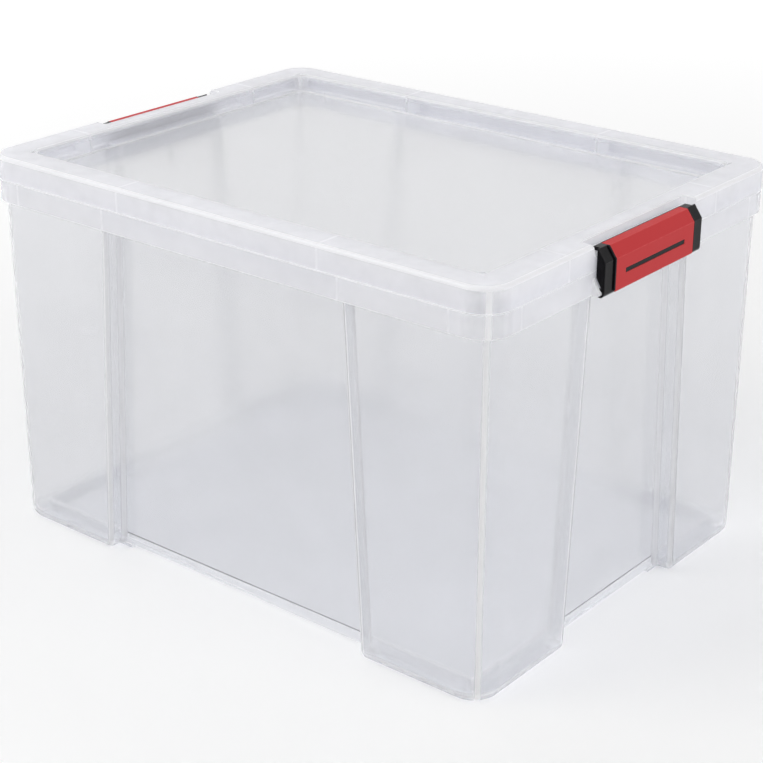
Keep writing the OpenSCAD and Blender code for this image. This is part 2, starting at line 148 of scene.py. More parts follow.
def stack(bm, rings, closed=False):
    """Skin through a stack of rings, with end faces, or closed round like a tyre."""
    made = [add_ring(bm, points) for points in rings]
    pairs = list(zip(made, made[1:] + (made[:1] if closed else [])))
    for (_, low), (_, high) in pairs:
        bmesh.ops.bridge_loops(bm, edges=low + high)
    if not closed:
        for verts, _ in (made[0], made[-1]):
            bm.faces.new(verts)


def finish_mesh(bm, name):
    bmesh.ops.remove_doubles(bm, verts=bm.verts, dist=1e-7)
    bmesh.ops.recalc_face_normals(bm, faces=bm.faces)
    mesh = bpy.data.meshes.new(name)
    bm.to_mesh(mesh)
    bm.free()
    made = bpy.data.objects.new(name, mesh)
    bpy.context.scene.collection.objects.link(made)
    return made


def solid(name, rings, closed=False):
    bm = bmesh.new()
    stack(bm, rings, closed)
    return finish_mesh(bm, name)


print("outline of the lid:", len(rectangle(LID_X, LID_Y, LID_CORNER)), "points")

# %% [markdown]
# ## Joining and cutting
# The tub and the lid are one moulding each, and clear plastic would show every face left inside
# it. So their parts are joined, and their hollows cut, with Boolean modifiers that are applied at
# once. The exact solver keeps the result closed.

# %% Joining and cutting
def combine(base, operation, *tools):
    """Joins the tools to the base, or cuts them out of it, and removes them."""
    for tool in tools:
        boolean = base.modifiers.new("combine", "BOOLEAN")
        boolean.solver, boolean.operation, boolean.object = "EXACT", operation, tool
        seen = base.evaluated_get(bpy.context.evaluated_depsgraph_get())
        joined, old = bpy.data.meshes.new_from_object(seen), base.data
        base.modifiers.clear()
        base.data = joined
        bpy.data.meshes.remove(old)
        bpy.data.meshes.remove(tool.data)
    return base


def block(name, x, y, z, radius=0.0, steps=4):
    """Block over the ranges x, y and z, with its four upright edges turned."""
    (x0, x1), (y0, y1) = x, y
    ring = outline([(x, y, radius, steps) for x, y in ((x1, y1), (x0, y1), (x0, y0), (x1, y0))])
    return solid(name, [level(ring, z[0]), level(ring, z[1])])


def plate(name, section, y0, y1, round_by=0.0, place=None, steps=2):
    """Plate with a section drawn in X and Z, from y0 to y1, with all its edges rounded."""
    bm = bmesh.new()
    face = bm.faces.new([bm.verts.new(Vector((x, y0, z)) * MM) for x, z in section])
    made = bmesh.ops.extrude_face_region(bm, geom=[face])
    moved = [g for g in made["geom"] if isinstance(g, bmesh.types.BMVert)]
    bmesh.ops.translate(bm, verts=moved, vec=Vector((0, y1 - y0, 0)) * MM)
    if round_by:
        bmesh.ops.bevel(bm, geom=list(bm.edges), offset=round_by * MM, offset_type="OFFSET",
                        affect="EDGES", segments=steps, profile=0.5, material=-1, clamp_overlap=True)
    if place is not None:
        bmesh.ops.transform(bm, matrix=place, verts=bm.verts)
    return finish_mesh(bm, name)


def turned(degrees, x=0.0, y=0.0, z=0.0):
    """Turn about Z, then a move, in millimetres."""
    return Matrix.Translation(Vector((x, y, z)) * MM) @ Matrix.Rotation(math.radians(degrees), 4, "Z")


print("a quarter turn takes X to", [round(v) for v in turned(90).to_3x3() @ Vector((1, 0, 0))])

# %% [markdown]
# ## The tub's body
# Four hollow pillars with feet stand at the corners, and between them the walls stand back in
# recesses. One outline with twenty corners holds all that. It leans in a little towards the
# ground, as every moulding does so that it leaves its mould, and the feet bend in below.

# %% The tub's body
DRAFT = 0.8
PILLAR_X, PILLAR_Y = (128.5, 111.5), (123.8, 108.0)    # widths of a pillar, at the rim and at the ground
RECESS_X, RECESS_Y = 15.8, 15.0
FOOT, FLOOR_TOP, FLOOR_T = 9.0, 13.5, 2.5


def tub_ring(z, t=0.0, inset=0.0, grow=0.0):
    """Outline of the tub at height z, in by t from its skin; grow moves the pillars' faces out."""
    low = (RIM_Z - z) / RIM_Z
    x, y = BODY_X - DRAFT * low, BODY_Y - DRAFT * low
    ex = BODY_X - PILLAR_X[0] + low * (PILLAR_X[0] - PILLAR_X[1] - DRAFT) + t + inset
    ey = BODY_Y - PILLAR_Y[0] + low * (PILLAR_Y[0] - PILLAR_Y[1] - DRAFT) + t + inset
    rx, ry = x - RECESS_X - t, y - RECESS_Y - t
    px, py = x - t - inset + grow, y - t - inset + grow
    inner, edge = 4 + t / 2, max(4 - t - inset, 1.0)
    corner = max(LID_CORNER - t - inset, 2.0)
    arm = [(rx, ey, inner, 5), (px, ey, edge, 6), (px, py, corner, 16), (ex, py, edge, 6), (ex, ry, inner, 5)]
    corners = []
    for sx, sy in ((1, 1), (-1, 1), (-1, -1), (1, -1)):
        corners += [(sx * c[0], sy * c[1], c[2], c[3]) for c in (arm if sx * sy > 0 else arm[::-1])]
    return level(outline(corners), z)


def bend(z0, radius, t, steps=8):
    """Rings of a foot, which bends in by its radius from z0 + radius down to z0."""
    turns = [math.radians(90 * i / steps) for i in range(steps + 1)]
    return [tub_ring(z0 + radius * (1 - math.cos(a)), t, radius * (1 - math.sin(a))) for a in turns]


tub = solid("tub_moulding", bend(0, FOOT, 0) + [tub_ring(LEDGE_Z - 1)])
print("tub body:", len(tub.data.polygons), "faces")

# %% [markdown]
# The rim band goes round the whole tub in one line, past pillars and recesses, and its lower edge
# is a small bead. Between the band and a recess wall there is a channel, open below.

# %% The rim band
def edge_turn(x, y, corner, z, radius, side, steps=4):
    """Rings that turn a level edge: side 1 from a wall up to a top, side -1 from below up to a wall."""
    rings = []
    for i in range(steps + 1):
        a = math.radians(90 * (i if side > 0 else steps - i) / steps)
        d = radius * (1 - math.cos(a))
        rings.append(level(rectangle(x - d, y - d, corner - d, 16), z - side * radius * (1 - math.sin(a))))
    return rings


band = solid("band", edge_turn(RIM_X, RIM_Y, RIM_CORNER, RIM_Z, 0.9, -1)
             + edge_turn(RIM_X, RIM_Y, RIM_CORNER, LEDGE_Z, 0.6, 1))
half_x = BODY_X - PILLAR_X[0] + 4 + WALL / 2
half_y = BODY_Y - PILLAR_Y[0] + 4 + WALL / 2
under_ledge = (RIM_Z - 1, LEDGE_Z - 2)
combine(band, "DIFFERENCE",
        block("channels", (-RIM_X + WALL, RIM_X - WALL), (-half_y, half_y), under_ledge, 2),
        block("channels", (-half_x, half_x), (-RIM_Y + WALL, RIM_Y - WALL), under_ledge, 2))
combine(tub, "UNION", band)
print("with its band:", len(tub.data.polygons), "faces")

# %% [markdown]
# The inside is one more stack of rings, two millimetres in from the outside. Under the ledge it
# widens to the band. The floor stands up inside the feet, with a hollow below it, so that the
# box can stand on the border of another box's lid.

# %% The inside and the underside
soft = FOOT - WALL
inside = solid("inside", bend(FLOOR_T, soft, WALL) + [
    tub_ring(RIM_Z + WALL, WALL), tub_ring(RIM_Z + WALL + 0.8, WALL, grow=3.0 - 0.3),
    tub_ring(RIM_Z + WALL + 1.2, WALL, grow=3.0), tub_ring(LEDGE_Z - 2.4, WALL, grow=3.0),
    tub_ring(LEDGE_Z - 2, WALL, grow=2.6), tub_ring(LEDGE_Z - 1.99, WALL, grow=0.0), tub_ring(LEDGE_Z + 1, WALL)])
FLOOR_X, FLOOR_Y = BODY_X - DRAFT - RECESS_X - WALL / 2, BODY_Y - DRAFT - RECESS_Y - WALL / 2
floor_block = solid("floor_block", [level(rectangle(FLOOR_X, FLOOR_Y, 4, 5), FLOOR_T - 1)]
                    + edge_turn(FLOOR_X, FLOOR_Y, 4, FLOOR_TOP, 1.5, 1))
combine(inside, "DIFFERENCE", floor_block)
combine(tub, "DIFFERENCE", inside)
hollow_x, hollow_y = FLOOR_X - WALL, FLOOR_Y - WALL
gap_x, gap_y = BODY_X - DRAFT - PILLAR_X[1] - FOOT, BODY_Y - DRAFT - PILLAR_Y[1] - FOOT
combine(tub, "DIFFERENCE",
        solid("hollow", [level(rectangle(hollow_x, hollow_y, 3, 5), -1)]
              + edge_turn(hollow_x, hollow_y, 3, FLOOR_TOP - FLOOR_T, 1.0, 1)),
        block("gap", (-hollow_x - 6, hollow_x + 6), (-gap_y, gap_y), (-1, 3.5)),
        block("gap", (-gap_x, gap_x), (-hollow_y - 6, hollow_y + 6), (-1, 3.5)))
print("hollowed:", len(tub.data.polygons), "faces")

# %% [markdown]
# On the ledge stands a thin upstand that centres the lid. Gussets carry the ledge over the
# recesses, small ribs stiffen the corners, and at each end five lugs hold the rod of a clip.

# %% Upstand, gussets and ribs
def sweep(name, x, y, corner, section):
    """A closed section of points (inset, z), carried round a rectangle with turned corners."""
    return solid(name, [level(rectangle(x - d, y - d, max(corner - d, 1), 16), z) for d, z in section], closed=True)


up_x, up_y, up_corner, up_z = LID_X - 2.8, LID_Y - 2.8, LID_CORNER - 2.8, LEDGE_Z + 9.5
upstand = sweep("upstand", up_x, up_y, up_corner, [
    (0, LEDGE_Z - 0.5), (0, up_z - 0.7), (0.2, up_z - 0.2), (0.7, up_z),
    (1.3, up_z), (1.8, up_z - 0.2), (2.0, up_z - 0.7), (2.0, LEDGE_Z - 0.5)])
combine(tub, "UNION", upstand)

def gusset(root, face, foot, place):
    section = [(root - 1.1, foot), (root, foot), (face + 0.5, RIM_Z + 6), (face + 0.5, LEDGE_Z - 0.6),
               (root - 1.1, LEDGE_Z - 0.6)]
    return plate("gusset", section, -RIB / 2, RIB / 2, place=place)


for turn in (0, 180):
    combine(tub, "UNION", gusset(BODY_X - RECESS_X, RIM_X - WALL, RIM_Z - 14, turned(turn)))
    for x in (-60, 60):
        combine(tub, "UNION", gusset(BODY_Y - RECESS_Y, RIM_Y - WALL, RIM_Z + 0.6, turned(90 + turn, x=x)))

TUB_RIB = 34                          # from the rim's face to the nearest rib round the corner
low, high = RIM_Z + 0.6, LEDGE_Z - 0.6
corner_in = (RIM_CORNER - WALL) * (1 - math.sqrt(0.5))
corner_section = [(-3, low), (0.5, low), (0.5, high), (-3, high)]
for sx in (-1, 1):
    for sy in (-1, 1):
        x = sorted((sx * (RIM_X - TUB_RIB), sx * (RIM_X - TUB_RIB - RIB)))
        y = sorted((sy * (BODY_Y - WALL), sy * (RIM_Y - 0.6)))
        combine(tub, "UNION", block("rib", x, y, (low, high)))
        x = sorted((sx * (BODY_X - WALL), sx * (RIM_X - 0.6)))
        y = sorted((sy * (RIM_Y - TUB_RIB), sy * (RIM_Y - TUB_RIB - RIB)))
        combine(tub, "UNION", block("rib", x, y, (low, high)))
        place = turned(math.degrees(math.atan2(sy, sx)), sx * (RIM_X - WALL - corner_in),
                       sy * (RIM_Y - WALL - corner_in))
        combine(tub, "UNION", plate("rib", corner_section, -RIB / 2, RIB / 2, place=place))
print("with ribs:", len(tub.data.polygons), "faces")

# %% [markdown]
# A clip turns on a thin rod that is moulded with the tub. Five lugs carry it off the rim, each a
# plate whose section tapers out to the rod.

# %% Rods and lugs
CLIP_FRONT = LID_X + 8.8
KNUCKLE, BORE, ROD = 3.4, 1.8, 1.6
PIVOT_X, PIVOT_Z = CLIP_FRONT - 1.4 - KNUCKLE, RIM_Z + 2.2
LUG, LUG_PITCH, CLIP_HALF = 2.4, 33.0, 65.5
root = RIM_X - WALL / 2
lug_section = [(root, PIVOT_Z + 11), (RIM_X, PIVOT_Z + 11), (PIVOT_X + 0.96, PIVOT_Z + 1.28), (PIVOT_X, PIVOT_Z - ROD),
               (root, PIVOT_Z - ROD)]
lug_places = [-CLIP_HALF - 0.4 - LUG, -LUG_PITCH - LUG / 2, -LUG / 2, LUG_PITCH - LUG / 2, CLIP_HALF + 0.4]


def rod(name, radius, length, turn):
    """A round bar on the axis of a clip, at the end of the box that turn says."""
    bm = bmesh.new()
    bmesh.ops.create_cone(bm, cap_ends=True, segments=40, radius1=radius * MM, radius2=radius * MM, depth=length * MM)
    bmesh.ops.transform(bm, matrix=turned(turn) @ Matrix.Translation(Vector((PIVOT_X, 0, PIVOT_Z)) * MM)
                        @ Matrix.Rotation(math.radians(90), 4, "X"), verts=bm.verts)
    return finish_mesh(bm, name)


for turn in (0, 180):
    for y in lug_places:
        combine(tub, "UNION", plate("lug", lug_section, y, y + LUG, place=turned(turn)))
    combine(tub, "UNION", rod("rod", ROD, 2 * (CLIP_HALF + 0.4 + LUG) - 0.02, turn))
print("tub:", len(tub.data.polygons), "faces")

# %% [markdown]
# ## The lid
# The lid is one moulding too: a skirt that hides the tub's upstand, a raised hollow border, and a
# panel sunk between its four sides. At each end the border is cut down to a seat, in which the
# nose of a clip lies.

# %% The lid's shell
LID_T, BORDER, PANEL_Z = 2.0, 26.0, TOP - 15
lid = solid("lid_moulding", edge_turn(LID_X, LID_Y, LID_CORNER, SKIRT_Z, 0.6, -1, 3)
            + edge_turn(LID_X, LID_Y, LID_CORNER, TOP, 3.0, 1, 8))
panel_x, panel_y = LID_X - BORDER, LID_Y - BORDER
lean = 2.5


def panel_ring(grow, z, corner):
    return level(rectangle(panel_x + grow, panel_y + grow, corner, 12), z)


hollow = [panel_ring(-lean - 1.5, PANEL_Z, 6), panel_ring(-lean - 0.6, PANEL_Z + 0.3, 6.6),
          panel_ring(-lean - 0.1, PANEL_Z + 1.3, 7)]
for i in range(7):
    a = math.radians(90 * i / 6)
    hollow.append(panel_ring(2 * (1 - math.cos(a)), TOP - 2 + 2 * math.sin(a), 9 + 2 * (1 - math.cos(a))))
hollow.append(panel_ring(2, TOP + 1, 11))
core = solid("core", [
    panel_ring(LID_T - lean - 0.8, PANEL_Z - LID_T, 8), panel_ring(LID_T - lean, PANEL_Z - LID_T + 0.8, 9),
    panel_ring(LID_T, TOP + 0.5, 11)])
pocket = solid("pocket", [
    level(rectangle(LID_X - LID_T, LID_Y - LID_T, LID_CORNER - LID_T, 16), SKIRT_Z - 1)]
    + edge_turn(LID_X - LID_T, LID_Y - LID_T, LID_CORNER - LID_T, TOP - LID_T, 1.2, 1))


SEAT_HALF, seat_z = 68, TOP - 7.1     # half the length of a clip's seat, and its level


def seat(grow, end):
    """The seat of a clip; grown by the lid's thickness it is the outside of the wall round it."""
    x, y, r = LID_X - 10.5 - grow, SEAT_HALF + grow, 3 + grow
    if grow == 0:
        flare = [(1.0, seat_z), (0.3, seat_z + 0.3), (0, seat_z + 1.0),
                 (-1.2, TOP - 0.8), (-1.45, TOP - 0.2), (-1.9, TOP), (-1.9, TOP + 1)]
    else:
        flare = [(0, seat_z - grow), (-1.5, TOP + 1)]
    rings = []
    for d, z in flare:
        points = outline([(x + d, y - d, r, 5), (x + d, -y + d, r, 5),
                          (LID_X + 9, -y + d, r, 5), (LID_X + 9, y - d, r, 5)])
        rings.append(level([Matrix.Rotation(math.radians(end), 3, "Z") @ p for p in points], z))
    return solid("seat", rings)


combine(pocket, "DIFFERENCE", core, seat(LID_T, 0), seat(LID_T, 180))
combine(lid, "DIFFERENCE", solid("sunk", hollow), pocket, seat(0, 0), seat(0, 180))
bevel_section = [(LID_X - 3, seat_z + 1), (LID_X + 1, seat_z + 1), (LID_X + 1, seat_z - 3)]
for turn in (0, 180):
    combine(lid, "DIFFERENCE", plate("edge", bevel_section, -SEAT_HALF, SEAT_HALF, place=turned(turn)))
print("lid:", len(lid.data.polygons), "faces")

# %% [markdown]
# The hollow border would bend, so ribs cross it inside: two on each side and one in each corner.
# Each has a notch that clears the tub's upstand.

# %% The lid's ribs
LID_RIB_X, LID_RIB_Y = 100, 99        # where the ribs of a long side and of an end lie
foot, head, over = SKIRT_Z + 1, TOP - 0.8, up_z + 0.6


def border_rib(depth, place):
    section = [(-depth, foot), (-3.6, foot), (-3.6, over), (-0.4, over), (-0.4, foot), (0.5, foot),
               (0.5, head), (-depth, head)]
    return plate("rib", section, -RIB / 2, RIB / 2, place=place)


corner_in = (LID_CORNER - LID_T) * (1 - math.sqrt(0.5))
ribs = []
for turn in (0, 180):
    for s in (-1, 1):
        ribs.append((BORDER - 3, turned(turn) @ turned(0, LID_X - LID_T, s * LID_RIB_Y)))
        ribs.append((BORDER - 3, turned(turn) @ turned(90, s * LID_RIB_X, LID_Y - LID_T)))
for sx in (-1, 1):
    for sy in (-1, 1):
        spot = (sx * (LID_X - LID_T - corner_in), sy * (LID_Y - LID_T - corner_in))
        ribs.append((BORDER * math.sqrt(2) - LID_T - corner_in, turned(math.degrees(math.atan2(sy, sx)), *spot)))
for depth, place in ribs:
    combine(lid, "UNION", border_rib(depth, place))
print("with ribs:", len(lid.data.polygons), "faces")

# %% [markdown]
# ## The clip handles
# A clip is a black frame that snaps on the tub's rod, and a red plate let into it. The frame is
# a thin bent skin, so its section is drawn once and carried along the clip, with end plates and
# stiffeners across it. It is opaque, but it is joined all the same, so that no face lies inside.

# %% Section of a clip
CLIP_BACK, CLIP_TOP, NOSE_TIP, NOSE_Z = LID_X + 0.4, TOP - 3.7, LID_X - 5.5, seat_z + 0.5
BEVEL_W, BEVEL_H, SKIN, COVER_T = 6.4, 8.8, 1.6, 1.3
SLOT_HALF, SLOT_H, SLOT_Z = 40.0, 3.6, RIM_Z + 11.6   # the slot of the cover
SLANT = math.hypot(BEVEL_W, BEVEL_H)


def bevel_x(d, z):
    return CLIP_FRONT - (BEVEL_W * (z - CLIP_TOP + BEVEL_H) + d * SLANT) / BEVEL_H


def bevel_end(d):
    return CLIP_TOP - BEVEL_H + (d - d * SLANT / BEVEL_H) * BEVEL_H / BEVEL_W


def face_line(d, e):
    """From the back of the top, set down by e, over the bevel and down the front, set in by d."""
    return [(CLIP_BACK, CLIP_TOP - e), (bevel_x(d, CLIP_TOP - e), CLIP_TOP - e), (CLIP_FRONT - d, bevel_end(d)),
            (CLIP_FRONT - d, PIVOT_Z), (PIVOT_X, PIVOT_Z)]


def full_section(d, e):
    return [(CLIP_BACK, NOSE_Z)] + face_line(d, e) + [
        (PIVOT_X + BORE / 2, PIVOT_Z + KNUCKLE), (CLIP_BACK, PIVOT_Z + 11)]


def web_section(d, e, shy=0.2):
    """A full section that keeps a little way inside the skin all round, so that no faces coincide."""
    line = face_line(d + shy, e + shy)
    return [(CLIP_BACK + shy, NOSE_Z + shy), (CLIP_BACK + shy, line[0][1])] + line[1:3] + [
        (CLIP_FRONT - d - shy, PIVOT_Z + shy), (PIVOT_X + shy, PIVOT_Z + shy),
        (PIVOT_X + BORE / 2 + shy, PIVOT_Z + KNUCKLE - shy), (CLIP_BACK + shy, PIVOT_Z + 11 - shy)]


def skin_section(d, e):
    low, inner = PIVOT_Z + BORE, CLIP_FRONT - d - SKIN
    return [(CLIP_BACK, NOSE_Z)] + face_line(d, e) + [
        (PIVOT_X + 0.48, low), (inner, low), (inner, bevel_end(d + SKIN)), (bevel_x(d + SKIN, NOSE_Z), NOSE_Z)]


# %% [markdown]
# The frame is its skin with a cap and a shoulder at each end, four stiffeners, the nose that lies
# in the lid's seat, the bar behind the cover's slot, and the knuckle. Parts that would share a
# face are drawn a few hundredths apart, because the joining fails on faces that coincide.

# %% The black frame
CORE = COVER_T + 0.1                    # how far the frame lies under the cover's face
CAP = 1.2                               # how far the end caps stand back from it
SEAT_Y = 52.6


def knuckle(y0, y1):
    """A length of the knuckle: a short radial edge, spun round the rod except for the mouth."""
    bm = bmesh.new()
    mouth = math.radians(31)
    aim = math.radians(150)
    start = Vector((math.cos(aim + mouth), 0, math.sin(aim + mouth)))
    ends = [bm.verts.new((start * r + Vector((PIVOT_X, y0, PIVOT_Z))) * MM) for r in (BORE - 0.2, KNUCKLE - 0.03)]
    edge = bm.edges.new(ends)
    bmesh.ops.spin(bm, geom=ends + [edge], cent=Vector((PIVOT_X, y0, PIVOT_Z)) * MM, axis=(0, -1, 0),
                   angle=2 * math.pi - 2 * mouth, steps=36, use_merge=False)
    made = bmesh.ops.extrude_face_region(bm, geom=list(bm.faces))
    bmesh.ops.translate(bm, verts=[g for g in made["geom"] if isinstance(g, bmesh.types.BMVert)],
                        vec=Vector((0, y1 - y0, 0)) * MM)
    return finish_mesh(bm, "knuckle")


def nose(y0, y1, e):
    section = [(NOSE_TIP, NOSE_Z + 1), (NOSE_TIP + 1, NOSE_Z), (CLIP_BACK + 0.5, NOSE_Z),
               (CLIP_BACK + 0.5, CLIP_TOP - e), (NOSE_TIP, CLIP_TOP - e)]
    return plate("nose", section, y0, y1, 0.25)


def clip_frame():
    parts = [plate("skin", skin_section(CORE, CORE), -SEAT_Y - 0.5, SEAT_Y + 0.5)]
    for s in (-1, 1):
        for section, y0, y1, soft_edge in (
                (full_section(0, 0), SEAT_Y, SEAT_Y + 1.5, 0.25),
                (skin_section(CAP + 0.04, 0.04), SEAT_Y + 0.3, CLIP_HALF - 0.4, 0),
                (full_section(CAP, 0), CLIP_HALF - 2, CLIP_HALF, 0.35),
                (web_section(CORE, CORE), LUG_PITCH / 2 - 0.8, LUG_PITCH / 2 + 0.8, 0),
                (web_section(CORE, CORE), 1.5 * LUG_PITCH - 0.8, 1.5 * LUG_PITCH + 0.8, 0)):
            parts.append(plate("part", section, *sorted((s * y0, s * y1)), round_by=soft_edge))
        parts.append(nose(*sorted((s * (SEAT_Y + 0.2), s * 62)), 0.08))
    parts.append(nose(-SEAT_Y - 0.6, SEAT_Y + 0.6, CORE + 0.08))
    back, front = NOSE_TIP + 0.05, NOSE_TIP + 0.65
    parts.append(plate("lip", [(back, NOSE_Z + 1.3), (front, NOSE_Z + 1.3), (front, CLIP_TOP), (back, CLIP_TOP)],
                       -SEAT_Y - 0.4, SEAT_Y + 0.4, 0.2))
    back, front, low, high = CLIP_FRONT - CORE - 0.5, CLIP_FRONT - 0.4, SLOT_Z + 0.1, SLOT_Z + SLOT_H - 0.1
    parts.append(plate("bar", [(back, low), (front, low), (front, high), (back, high)],
                       -SLOT_HALF + 0.1, SLOT_HALF - 0.1, 0.3))
    parts.append(knuckle(-CLIP_HALF + 0.01, CLIP_HALF - 0.01))
    made = parts[0]
    made.name = "clip_frame"
    combine(made, "UNION", *parts[1:])
    combine(made, "DIFFERENCE", rod("bore", BORE, 2 * CLIP_HALF + 10, 0))
    gap = LUG / 2 + 0.4
    for y in (-LUG_PITCH, 0, LUG_PITCH):
        combine(made, "DIFFERENCE",
                block("slot", (CLIP_BACK - 1, PIVOT_X + BORE - 0.01), (y - gap, y + gap),
                      (PIVOT_Z - 7, PIVOT_Z + 11.4)),
                block("slot", (CLIP_BACK - 2, CLIP_FRONT + 1), (y - gap - 0.01, y + gap + 0.01),
                      (PIVOT_Z - 8, PIVOT_Z + 0.8)))
    return made


# %% [markdown]
# The cover is a bent plate too, with a slot. Its edges are rounded last, found by their angle, so
# that the slot's edges are rounded with the rest. The left clip is the right one, turned.

# %% The red cover
def clip_cover():
    half, foot, t = 52.5, RIM_Z + 0.6, COVER_T
    section = [(NOSE_TIP + 0.75, CLIP_TOP), (bevel_x(0, CLIP_TOP), CLIP_TOP), (CLIP_FRONT, bevel_end(0)),
               (CLIP_FRONT, foot + t / 2),
               (CLIP_FRONT - t / 2, foot), (CLIP_FRONT - t, foot), (CLIP_FRONT - t, bevel_end(t)),
               (bevel_x(t, CLIP_TOP - t), CLIP_TOP - t), (NOSE_TIP + 0.75, CLIP_TOP - t)]
    made = plate("clip_cover", section, -half, half)
    combine(made, "DIFFERENCE", block("slot", (CLIP_FRONT - 3, CLIP_FRONT + 1), (-SLOT_HALF, SLOT_HALF),
                                      (SLOT_Z, SLOT_Z + SLOT_H)))
    bm = bmesh.new()
    bm.from_mesh(made.data)
    sharp = [e for e in bm.edges if e.calc_face_angle(0) > math.radians(20)]
    bmesh.ops.bevel(bm, geom=sharp, offset=0.35 * MM, offset_type="OFFSET", affect="EDGES", segments=3,
                    profile=0.5, material=-1, clamp_overlap=True)
    bm.to_mesh(made.data)
    bm.free()
    return made


def copy_turned(piece, name, degrees):
    """A copy of a piece at the other end of the box."""
    mesh = piece.data.copy()
    mesh.transform(turned(degrees))
    made = bpy.data.objects.new(name, mesh)
    bpy.context.scene.collection.objects.link(made)
    return made


frame_right, cover_right = clip_frame(), clip_cover()
frame_right.name, cover_right.name = "clip_frame_right_moulding", "clip_cover_right_plate"
frame_left = copy_turned(frame_right, "clip_frame_left_moulding", 180)
cover_left = copy_turned(cover_right, "clip_cover_left_plate", 180)
print("clip frame:", len(frame_right.data.polygons), "faces, cover:", len(cover_right.data.polygons))

# %% [markdown]
# ## Shader maths
# A finish is a formula: a noise, scaled and clamped, that mixes two colours. Written as node links
# it is hard to read, so a small class wraps a socket and lets Python's own operators add the nodes.

# %% Shader maths
class Value:
    """One socket of a material's node tree, with the operators that a formula needs."""

    def __init__(self, finish, socket):
        self.finish = finish
        self.socket = socket

    def _math(self, operation, *others):
        return self.finish.node("ShaderNodeMath", {"operation": operation}, *others)

    def __add__(self, other): return self._math("ADD", self, other)
    def __radd__(self, other): return self._math("ADD", other, self)
    def __mul__(self, other): return self._math("MULTIPLY", self, other)
    def __rmul__(self, other): return self._math("MULTIPLY", other, self)
    def __sub__(self, other): return self._math("SUBTRACT", self, other)
    def __rsub__(self, other): return self._math("SUBTRACT", other, self)
    def clamp(self): return self.finish.node("ShaderNodeClamp", {}, self)
    def abs(self): return self._math("ABSOLUTE", self)
    def max(self, other): return self._math("MAXIMUM", self, other)


class Finish:
    """A material that is being made: node() adds any node and returns one of its outputs."""

    def __init__(self, name):
        self.material = bpy.data.materials.new(name)
        self.material.use_nodes = True
        self.tree = self.material.node_tree
        self.tree.nodes.clear()
        self.place = self.node("ShaderNodeTexCoord", {}, out="Object")

    def node(self, kind, settings, *values, out=0, **named):
        made = self.tree.nodes.new(kind)
        for key, value in settings.items():
            setattr(made, key, value)
        for key, value in list(enumerate(values)) + [(k.replace("_", " "), v) for k, v in named.items()]:
            if isinstance(value, Value):
                self.tree.links.new(value.socket, made.inputs[key])
            else:
                made.inputs[key].default_value = value
        return Value(self, made.outputs[out])

    def mix(self, share, one, other):
        """Blend two colours."""
        made = self.node("ShaderNodeMix", {"data_type": "RGBA"}, share, out=2)
        for place, colour in ((6, one), (7, other)):
            made.socket.node.inputs[place].default_value = colour
        return made

    def axes(self):
        parts = self.node("ShaderNodeSeparateXYZ", {}, self.place)
        return [Value(self, parts.socket.node.outputs[i]) for i in range(3)]

    def noise(self, scale, detail=2.0):
        return self.node("ShaderNodeTexNoise", {}, Vector=self.place, Scale=scale, Detail=detail)

    def output(self, shader):
        end = self.tree.nodes.new("ShaderNodeOutputMaterial")
        self.tree.links.new(shader.socket, end.inputs["Surface"])
        return self.material


print("operators of a value:", [name for name in vars(Value) if name not in dir(object)])

# %% [markdown]
# Along tight bends the frosted finish paints a highlight, and the black and red plastic wears
# sooner there. The mesh knows where that is: the turn of a face against its neighbours, over its
# size. It is stored once and read by every finish.

# %% Where a moulding bends
def mark_bends(piece):
    """Store on every face how tightly the skin turns there, in radians for each millimetre."""
    bm = bmesh.new()
    bm.from_mesh(piece.data)
    turn = bm.faces.layers.float.new("bend")
    for face in bm.faces:
        turned_by = sum(edge.calc_face_angle(0.0) * edge.calc_length() for edge in face.edges) / 2
        face[turn] = min(turned_by * MM / max(face.calc_area(), 1e-12), 2.0)
    print(piece.name, "has", sum(face[turn] > 0.15 for face in bm.faces), "tight faces of", len(bm.faces))
    bm.to_mesh(piece.data)
    bm.free()


# %% [markdown]
# ## Frosted plastic
# The tub and the lid are of the same clear, slightly milky plastic. Light goes through it and
# bends as in glass, and a share of it scatters. That share is what the eye reads as frost: small
# on the flat walls, large on the double walls of the rim and border, and largest along edges and
# corners, where the eye looks along the plastic instead of through it; there the milk is also
# paler, a painted highlight. Round the corner turns of the rim and of the lid's skirt the share is
# lowered, a painted grey shade. So the finish mixes a glass with a milk, and a formula on the place
# gives the share. A lamp's rays would be lost in real glass, so for them the plastic is a thin
# tinted film. The line of light down each corner, and the faint ones where ribs meet the skin, are
# painted highlight drawn by formula, because the glass alone did not show them; the rib lines also
# stand for the ribs seen through the plastic.

# %% The frosted finish
MILK = (0.915, 0.915, 0.935, 1)
# The second colour is the paler milk of a painted highlight along bends, corner lines and ribs
HIGHLIGHT_WHITE = (0.99, 0.99, 0.995, 1)


